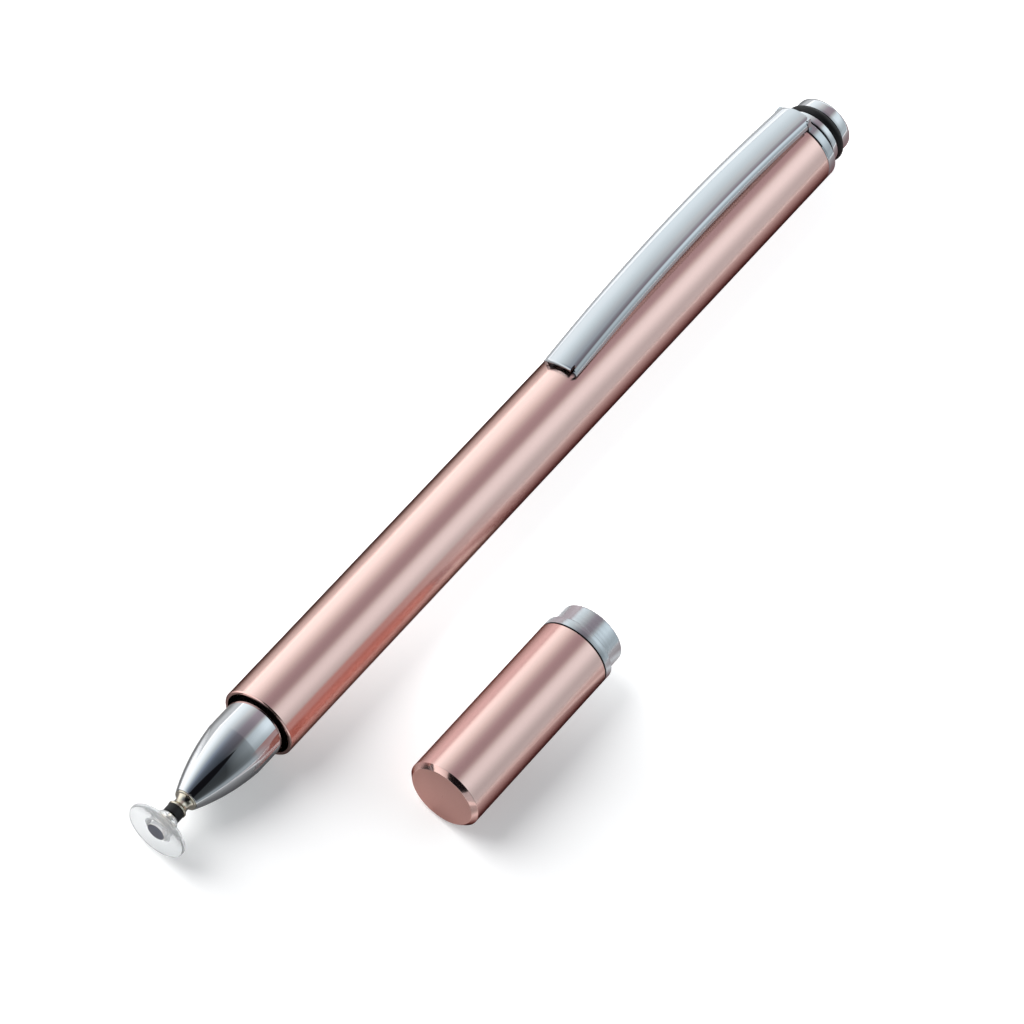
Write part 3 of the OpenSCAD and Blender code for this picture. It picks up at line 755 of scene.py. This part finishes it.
def make_clip():
    """The stamped clip in one piece: ring, riser and arm."""
    ring = turned(ring_outline())
    offset_turn = Matrix.Rotation(RING_OFFSET_TURN, 3, "X")
    bmesh.ops.rotate(ring, verts=ring.verts, cent=(0, 0, 0), matrix=offset_turn)
    riser_top = bow_height(RISER_START) - CLIP_PLATE / 2
    riser = box_mesh((RISER_START, -RISER_W / 2, RISER_FOOT), (RISER_END, RISER_W / 2, riser_top))
    bm = cut(clip_arm_mesh(), [riser, ring], "UNION")
    notch_sides = sorted((NOTCH_SIDE * NOTCH_IN, NOTCH_SIDE * NOTCH_OUT))
    notch = box_mesh((CLIP_FOOT - OVERRUN, notch_sides[0], 0),
        (CLIP_FOOT + NOTCH_LEN, notch_sides[1], CLIP_TOP + OVERRUN))
    bm = cut(bm, [notch], "DIFFERENCE")
    # The clip wears the darker copy of the chrome: painted shade
    piece = settle(bm, "stamped_clip", pen_origin, [shaded_clip_chrome], CLIP_TURN)
    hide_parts("clip_arm", "clip_ring")
    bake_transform(piece)
    return piece


make_clip()


def make_floor():
    """Plain pale floor. Its glow makes up for the shade of the tent; the pieces' shadows stay on it at the front,
    and painted light in its glow washes them out towards the rear.
    """
    bm = bmesh.new()
    bmesh.ops.create_circle(bm, cap_ends=True, segments=FLOOR_SIDES, radius=FLOOR_R)
    mesh = bpy.data.meshes.new("studio_floor")
    bm.to_mesh(mesh)
    bm.free()
    floor = bpy.data.objects.new("studio_floor", mesh)
    bpy.context.collection.objects.link(floor)
    material, tree, place, surface = new_material("white_sweep_paper")
    path = add(tree, "ShaderNodeLightPath").outputs
    spot = add(tree, "ShaderNodeSeparateXYZ", {0: place}).outputs
    diagonal = add(tree, "ShaderNodeMath", {0: spot["X"], 1: spot["Y"]}, operation="ADD")
    # Glow graded along the diagonal: painted light that fades the shadows to the rear
    (start, low), (stop, high) = FLOOR_GLOW
    glow = add(tree, "ShaderNodeMapRange", {"Value": diagonal.outputs[0], "From Min": start * MM,
        "From Max": stop * MM, "To Min": low, "To Max": high}, interpolation_type="SMOOTHSTEP")
    seen = add(tree, "ShaderNodeMath", {0: path["Is Camera Ray"], 1: path["Is Transmission Ray"]},
        operation="MAXIMUM")
    glow = add(tree, "ShaderNodeMath", {0: seen.outputs[0], 1: glow.outputs["Result"]},
        operation="MULTIPLY")
    glow = add(tree, "ShaderNodeMath", {0: path["Is Glossy Ray"], 1: FLOOR_GLOW_IN_METAL,
        2: glow.outputs[0]}, operation="MULTIPLY_ADD")
    paper = add(tree, "ShaderNodeBsdfDiffuse", {"Color": linear(PAPER)})
    light = add(tree, "ShaderNodeEmission", {"Color": (*WHITE, 1), "Strength": glow.outputs[0]})
    both = add(tree, "ShaderNodeAddShader", {0: paper.outputs["BSDF"], 1: light.outputs["Emission"]})
    tree.links.new(both.outputs["Shader"], surface)
    mesh.materials.append(material)


def make_card(name, along, across, axis_y, colour, densities, seen_from=0, fades=CARD_FADES):
    """Graded card, as studios use to draw dark and light edges on metal. Only metal sees it: a dark card is
    painted shade in the metal's reflections, the copper one a painted reflection, and a bright one lights
    the metal like a lamp.

    A card seen from +Y or -Y (1 or -1) stands upright at axis_y, and across is its stretch in height.
    Any other lies flat.
    """
    bm = bmesh.new()
    bmesh.ops.create_grid(bm, x_segments=1, y_segments=1, size=0.5)
    bmesh.ops.scale(bm, verts=bm.verts, vec=(along[1] - along[0], across[1] - across[0], 1))
    bmesh.ops.translate(bm, verts=bm.verts, vec=(sum(along) / 2, sum(across) / 2, CARD_HEIGHT))
    if seen_from:
        bmesh.ops.rotate(bm, verts=bm.verts, cent=(0, 0, 0), matrix=Matrix.Rotation(math.pi / 2, 3, "X"))
        bmesh.ops.translate(bm, verts=bm.verts, vec=(0, axis_y, 0))
    bmesh.ops.scale(bm, verts=bm.verts, vec=(MM, MM, MM))
    mesh = bpy.data.meshes.new(name)
    bm.to_mesh(mesh)
    bm.free()
    card = bpy.data.objects.new(name, mesh)
    bpy.context.collection.objects.link(card)
    material, tree, place, surface = new_material(name + "_paper")
    spot = add(tree, "ShaderNodeSeparateXYZ", {0: place}).outputs
    off = add(tree, "ShaderNodeMath", {0: spot["Y"], 1: axis_y * MM}, operation="SUBTRACT")
    off = add(tree, "ShaderNodeMath", {0: spot["Z"] if seen_from else off.outputs[0]},
        operation="ABSOLUTE")
    reach = densities[-1][0]
    off = add(tree, "ShaderNodeMath", {0: off.outputs[0], 1: 1 / (reach * MM)}, operation="MULTIPLY")
    density = ramp(tree, off.outputs[0], [(d / reach, level, level, level) for d, level in densities])
    ends = [add(tree, "ShaderNodeMapRange", {"Value": spot["X"], "From Min": end * MM,
        "From Max": (end + step) * MM}).outputs["Result"]
        for end, step in zip(along, (fades[0], -fades[1]))]
    fade = add(tree, "ShaderNodeMath", {0: ends[0], 1: ends[1]}, operation="MINIMUM")
    density = add(tree, "ShaderNodeMath", {0: density, 1: fade.outputs[0]}, operation="MULTIPLY")
    if seen_from:
        back = add(tree, "ShaderNodeNewGeometry").outputs["Backfacing"]
        side = add(tree, "ShaderNodeMath", {0: back, 1: (1 - seen_from) / 2}, operation="SUBTRACT")
        side = add(tree, "ShaderNodeMath", {0: side.outputs[0]}, operation="ABSOLUTE")
        density = add(tree, "ShaderNodeMath", {0: density.outputs[0], 1: side.outputs[0]},
            operation="MULTIPLY")
    paper = add(tree, "ShaderNodeEmission", {"Color": (*colour, 1)})
    none = add(tree, "ShaderNodeBsdfTransparent")
    both = add(tree, "ShaderNodeMixShader", {0: density.outputs[0], 1: none.outputs["BSDF"],
        2: paper.outputs["Emission"]})
    tree.links.new(both.outputs["Shader"], surface)
    mesh.materials.append(material)
    for ray in ("camera", "diffuse", "transmission", "shadow", "volume_scatter"):
        setattr(card, "visible_" + ray, False)


def make_studio():
    """Light tent: long soft panels along the pen, which metal mirrors, and a pale cloth behind them."""
    world = bpy.data.worlds.new("light_tent")
    world.use_nodes = True
    tree = world.node_tree
    tree.nodes.clear()
    way = add(tree, "ShaderNodeTexCoord").outputs["Generated"]
    part = add(tree, "ShaderNodeSeparateXYZ", {0: way}).outputs
    turn = add(tree, "ShaderNodeMath", {0: part["Y"], 1: part["Z"]}, operation="ARCTAN2")
    share = add(tree, "ShaderNodeMapRange", {"Value": turn.outputs[0], "From Min": -math.pi,
        "From Max": math.pi})
    front, rear = (ramp(tree, share.outputs["Result"],
        [((angle + 180) / 360, *(level / PANEL_TOP * c for c in tint)) for angle, level, tint in panels])
        for panels in (TENT_FRONT, TENT_REAR))
    along = add(tree, "ShaderNodeMapRange", {"Value": part["X"], "From Min": -1, "From Max": 1})
    rear_share = ramp(tree, along.outputs["Result"],
        [((x + 1) / 2, level, level, level) for x, level in REAR_SHARE])
    tent = add(tree, "ShaderNodeMix", {MIX_BY: rear_share, MIX_A: front, MIX_B: rear}, data_type="RGBA")
    off = add(tree, "ShaderNodeMath", {0: turn.outputs[0], 1: math.radians(GAP_AT)}, operation="SUBTRACT")
    off = add(tree, "ShaderNodeMath", {0: off.outputs[0]}, operation="ABSOLUTE")
    wide = add(tree, "ShaderNodeMath", {0: part["X"], 1: -math.radians(GAP_GROWTH),
        2: math.radians(GAP_HALF)}, operation="MULTIPLY_ADD")
    wide = add(tree, "ShaderNodeMath", {0: wide.outputs[0], 1: math.radians(GAP_MOST)}, operation="MINIMUM")
    spare = add(tree, "ShaderNodeMath", {0: wide.outputs[0], 1: off.outputs[0]}, operation="SUBTRACT")
    black = add(tree, "ShaderNodeMapRange", {"Value": spare.outputs[0], "From Min": 0,
        "From Max": math.radians(GAP_SOFT)})
    lit = add(tree, "ShaderNodeMix", {MIX_BY: black.outputs["Result"], MIX_A: tent.outputs[MIX_OUT],
        MIX_B: (*GAP_BLACK, 1)}, data_type="RGBA")
    path = add(tree, "ShaderNodeLightPath").outputs
    straight = add(tree, "ShaderNodeMath", {0: path["Is Camera Ray"], 1: path["Is Transmission Ray"]},
        operation="MAXIMUM")
    pale = [BACKDROP / PANEL_TOP] * 3
    shown = add(tree, "ShaderNodeMix", {MIX_BY: straight.outputs[0], MIX_A: lit.outputs[MIX_OUT],
        MIX_B: (*pale, 1)}, data_type="RGBA")
    light = add(tree, "ShaderNodeBackground", {"Color": shown.outputs[MIX_OUT], "Strength": PANEL_TOP})
    add(tree, "ShaderNodeOutputWorld", {"Surface": light.outputs["Background"]})
    bpy.context.scene.world = world


def make_key():
    """One wide soft lamp. Metal doesn't show it, because the tent is what metal reflects."""
    data = bpy.data.lights.new("soft_key", "SUN")
    data.energy = KEY_LEVEL
    data.angle = KEY_SOFTNESS
    lamp = bpy.data.objects.new("soft_key", data)
    bpy.context.collection.objects.link(lamp)
    lamp.rotation_euler = Vector(KEY_FROM).to_track_quat("Z", "Y").to_euler()
    lamp.visible_glossy = False


def make_camera():
    """Long lens over the front left of the pen, rolled so that the pen rises to the right."""
    data = bpy.data.cameras.new("product_camera")
    data.sensor_width = SENSOR_W
    data.lens = FOCAL_PX * SENSOR_W / PICTURE_PX
    data.clip_start = NEAREST
    data.clip_end = FARTHEST
    camera = bpy.data.objects.new("product_camera", data)
    bpy.context.collection.objects.link(camera)
    right, up = Vector(CAMERA_RIGHT).normalized(), Vector(CAMERA_UP).normalized()
    back = right.cross(up)
    camera.matrix_world = Matrix((right, up, back)).transposed().to_4x4()
    camera.location = Vector(CAMERA_PLACE) * MM
    bpy.context.scene.camera = camera


make_floor()
# The dark cards are painted shade and the copper one a painted reflection; only the metal sees them
for card in FLAT_CARDS + UPRIGHT_CARDS:
    make_card(*card)
make_studio()
make_key()
make_camera()
bpy.context.scene.view_settings.view_transform = "Standard"
